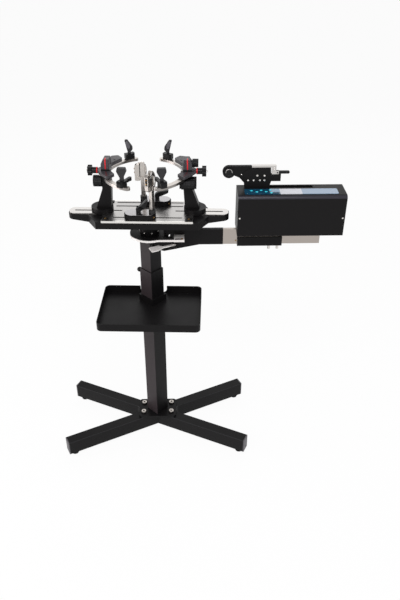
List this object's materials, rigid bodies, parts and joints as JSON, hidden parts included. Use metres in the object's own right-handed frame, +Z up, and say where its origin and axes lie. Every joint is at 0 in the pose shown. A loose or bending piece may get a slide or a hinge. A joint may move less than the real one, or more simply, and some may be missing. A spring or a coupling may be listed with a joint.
{
  "type": "racket stringing machine",
  "caption": "Floor-standing racket stringing machine with a spinning table, side supports, string clamps, a rail and an electric tension head",
  "frame": {"origin": "middle of the footprint's bounding box, on the floor", "axes": "+Z up, +X from the column along the rail to the tension head, +Y away from the user"},
  "size_m": [1.0346, 0.4074, 1.2166],
  "materials": {
    "black_paint": "satin black powder coat",
    "black_plastic": "moulded black plastic",
    "cap_grey": "dark grey end cap",
    "foot_rubber": "black rubber",
    "support_grey": "ribbed grey pad",
    "steel": "bare brushed steel",
    "silver": "satin silver aluminium",
    "panel_film": "glossy printed panel film"
  },
  "bodies": {
    "stand": {"cross_legs": "black_paint", "front_left_leg_cap": "cap_grey", "front_left_foot": "foot_rubber", "front_right_leg_cap": "cap_grey", "front_right_foot": "foot_rubber", "rear_right_leg_cap": "cap_grey", "rear_right_foot": "foot_rubber", "rear_left_leg_cap": "cap_grey", "rear_left_foot": "foot_rubber", "base_plate": "black_paint", "outer_column": "black_paint"},
    "height_pin": {"height_pin": "black_plastic"},
    "tray": {"tool_tray": "black_paint"},
    "upper_column": {"inner_column": "black_paint", "arm_tube": "black_paint", "arm_rail": "silver", "brake_band": "steel"},
    "brake_lever": {"brake_lever": "steel"},
    "turntable": {"brake_disc": "black_paint", "turntable_body": "black_paint", "turntable_deck": "silver"},
    "left_tower": {"left_tower": "black_paint"},
    "left_head_support": {"left_head_support": "support_grey"},
    "left_head_screw": {"left_head_screw": "black_plastic"},
    "left_side_arm": {"left_side_arm": "silver", "left_front_support_block": "black_plastic", "left_rear_support_block": "black_plastic"},
    "left_side_knob": {"left_side_knob": "black_plastic"},
    "left_front_paddle": {"left_front_paddle": "black_plastic"},
    "left_rear_paddle": {"left_rear_paddle": "black_plastic"},
    "right_tower": {"right_tower": "black_paint"},
    "right_head_support": {"right_head_support": "support_grey"},
    "right_head_screw": {"right_head_screw": "black_plastic"},
    "right_side_arm": {"right_side_arm": "silver", "right_front_support_block": "black_plastic", "right_rear_support_block": "black_plastic"},
    "right_side_knob": {"right_side_knob": "black_plastic"},
    "right_front_paddle": {"right_front_paddle": "black_plastic"},
    "right_rear_paddle": {"right_rear_paddle": "black_plastic"},
    "right_lock_knob": {"right_lock_knob": "black_plastic"},
    "front_clamp_base": {"front_clamp_base": "black_paint"},
    "front_clamp_lever": {"front_clamp_lever": "black_plastic"},
    "front_clamp_post": {"front_clamp_post": "silver"},
    "front_clamp_jaw": {"front_clamp_jaw": "silver"},
    "rear_clamp_base": {"rear_clamp_base": "black_paint"},
    "rear_clamp_lever": {"rear_clamp_lever": "black_plastic"},
    "rear_clamp_post": {"rear_clamp_post": "silver"},
    "rear_clamp_jaw": {"rear_clamp_jaw": "silver"},
    "tension_head": {"rail_clamp": "black_paint", "housing_base": "black_paint", "housing_cover": "black_paint", "control_panel": "panel_film", "power_inlet": "black_plastic", "drive_track": "black_paint", "drive_chain": "steel", "drive_motor": "black_plastic"},
    "gripper": {"gripper_frame": "black_paint"},
    "gripper_roller": {"gripper_roller": "steel"},
    "gripper_jaw": {"gripper_jaw": "silver"},
    "gripper_lever": {"gripper_lever": "black_plastic"}
  },
  "joints": [
    {"name": "column_height", "type": "slide", "parent": "stand", "child": "upper_column", "axis": [0, 0, 1], "range_m": [-0.07, 0.12]},
    {"name": "height_pin_pull", "type": "slide", "parent": "stand", "child": "height_pin", "axis": [-0.7071, 0.7071, 0], "range_m": [0, 0.01], "stiffness_N_per_m": 800},
    {"name": "tray_height", "type": "slide", "parent": "stand", "child": "tray", "axis": [0, 0, 1], "range_m": [-0.45, 0.06]},
    {"name": "turntable_spin", "type": "hinge", "parent": "upper_column", "child": "turntable", "pos_m": [-0.14768, 0.01036, 0.95], "axis": [0, 0, 1], "continuous": true},
    {"name": "brake_lever_swing", "type": "hinge", "parent": "upper_column", "child": "brake_lever", "pos_m": [-0.06368, -0.02764, 0.8945], "axis": [0, 0, 1], "range_deg": [-10, 35]},
    {"name": "left_tower_slide", "type": "slide", "parent": "turntable", "child": "left_tower", "axis": [-0.999, 0.0436, 0], "range_m": [-0.03, 0.03]},
    {"name": "left_head_support_slide", "type": "slide", "parent": "left_tower", "child": "left_head_support", "axis": [-0.999, 0.0436, 0], "range_m": [-0.003, 0.01]},
    {"name": "left_head_screw_turn", "type": "hinge", "parent": "left_head_support", "child": "left_head_screw", "pos_m": [-0.3375, 0.01865, 1.1561], "axis": [-0.999, 0.0436, 0], "range_deg": [-360, 1200]},
    {"name": "left_side_arm_slide", "type": "slide", "parent": "left_tower", "child": "left_side_arm", "axis": [-0.999, 0.0436, 0], "range_m": [-0.012, 0.003]},
    {"name": "left_side_knob_turn", "type": "hinge", "parent": "left_tower", "child": "left_side_knob", "pos_m": [-0.30788, 0.00935, 1.122], "axis": [-0.999, 0.0436, 0], "range_deg": [-720, 180]},
    {"name": "left_front_paddle_swivel", "type": "hinge", "parent": "left_side_arm", "child": "left_front_paddle", "pos_m": [-0.22129, -0.10519, 1.175], "axis": [0, 0, 1], "range_deg": [-40, 40]},
    {"name": "left_rear_paddle_swivel", "type": "hinge", "parent": "left_side_arm", "child": "left_rear_paddle", "pos_m": [-0.21463, 0.13898, 1.175], "axis": [0, 0, 1], "range_deg": [-40, 40]},
    {"name": "right_tower_slide", "type": "slide", "parent": "turntable", "child": "right_tower", "axis": [0.999, -0.0436, 0], "range_m": [-0.03, 0.03]},
    {"name": "right_head_support_slide", "type": "slide", "parent": "right_tower", "child": "right_head_support", "axis": [0.999, -0.0436, 0], "range_m": [-0.003, 0.01]},
    {"name": "right_head_screw_turn", "type": "hinge", "parent": "right_head_support", "child": "right_head_screw", "pos_m": [0.04214, 0.00207, 1.1561], "axis": [0.999, -0.0436, 0], "range_deg": [-360, 1200]},
    {"name": "right_side_arm_slide", "type": "slide", "parent": "right_tower", "child": "right_side_arm", "axis": [0.999, -0.0436, 0], "range_m": [-0.002, 0.013]},
    {"name": "right_side_knob_turn", "type": "hinge", "parent": "right_tower", "child": "right_side_knob", "pos_m": [-0.0114, -0.03213, 1.124], "axis": [0.999, -0.0436, 0], "range_deg": [-120, 780]},
    {"name": "right_front_paddle_swivel", "type": "hinge", "parent": "right_side_arm", "child": "right_front_paddle", "pos_m": [-0.09441, -0.11072, 1.175], "axis": [0, 0, 1], "range_deg": [-40, 40]},
    {"name": "right_rear_paddle_swivel", "type": "hinge", "parent": "right_side_arm", "child": "right_rear_paddle", "pos_m": [-0.07976, 0.13309, 1.175], "axis": [0, 0, 1], "range_deg": [-40, 40]},
    {"name": "right_lock_knob_turn", "type": "hinge", "parent": "right_head_support", "child": "right_lock_knob", "pos_m": [0.01378, 0.01732, 1.179], "axis": [0.999, -0.0436, 0], "range_deg": [0, 720]},
    {"name": "front_clamp_slide", "type": "slide", "parent": "turntable", "child": "front_clamp_base", "axis": [0.999, -0.0436, 0], "range_m": [-0.03, 0.06]},
    {"name": "front_clamp_swivel", "type": "hinge", "parent": "front_clamp_base", "child": "front_clamp_post", "pos_m": [-0.13287, -0.04033, 1.04], "axis": [0, 0, 1], "continuous": true},
    {"name": "front_clamp_jaw_open", "type": "hinge", "parent": "front_clamp_post", "child": "front_clamp_jaw", "pos_m": [-0.13489, -0.0435, 1.1193], "axis": [0.8434, -0.5373, 0], "range_deg": [0, 6]},
    {"name": "rear_clamp_slide", "type": "slide", "parent": "turntable", "child": "rear_clamp_base", "axis": [-0.999, 0.0436, 0], "range_m": [-0.035, 0.06]},
    {"name": "rear_clamp_swivel", "type": "hinge", "parent": "rear_clamp_base", "child": "rear_clamp_post", "pos_m": [-0.167, 0.07226, 1.04], "axis": [0, 0, 1], "continuous": true},
    {"name": "rear_clamp_jaw_open", "type": "hinge", "parent": "rear_clamp_post", "child": "rear_clamp_jaw", "pos_m": [-0.17074, 0.07243, 1.1053], "axis": [-0.0436, -0.999, 0], "range_deg": [0, 6]},
    {"name": "front_clamp_lever_lock", "type": "hinge", "parent": "front_clamp_base", "child": "front_clamp_lever", "pos_m": [-0.17983, -0.03828, 1.0393], "axis": [0.0436, 0.999, 0], "range_deg": [-110, 0]},
    {"name": "rear_clamp_lever_lock", "type": "hinge", "parent": "rear_clamp_base", "child": "rear_clamp_lever", "pos_m": [-0.12004, 0.07021, 1.0393], "axis": [-0.0436, -0.999, 0], "range_deg": [0, 110]},
    {"name": "head_slide", "type": "slide", "parent": "upper_column", "child": "tension_head", "axis": [1, 0, 0], "range_m": [0, 0.12]},
    {"name": "gripper_travel", "type": "slide", "parent": "tension_head", "child": "gripper", "axis": [1, 0, 0], "range_m": [0, 0.15]},
    {"name": "gripper_roller_spin", "type": "hinge", "parent": "gripper", "child": "gripper_roller", "pos_m": [0.12582, 0.00561, 1.1523], "axis": [0, 1, 0], "continuous": true},
    {"name": "gripper_jaw_lift", "type": "slide", "parent": "gripper", "child": "gripper_jaw", "axis": [0, 0, 1], "range_m": [0, 0.003]},
    {"name": "gripper_lever_lift", "type": "hinge", "parent": "gripper_jaw", "child": "gripper_lever", "pos_m": [0.28812, 0.00486, 1.1498], "axis": [0, -1, 0], "range_deg": [0, 60]}
  ],
  "couplings": [
    {"joint": "left_head_screw_turn", "follows": "left_head_support_slide", "rad_per_m": 2094.4},
    {"joint": "left_side_knob_turn", "follows": "left_side_arm_slide", "rad_per_m": 1047.2},
    {"joint": "right_head_screw_turn", "follows": "right_head_support_slide", "rad_per_m": 2094.4},
    {"joint": "right_side_knob_turn", "follows": "right_side_arm_slide", "rad_per_m": 1047.2},
    {"joint": "gripper_lever_lift", "follows": "gripper_jaw_lift", "rad_per_m": 349.07}
  ]
}
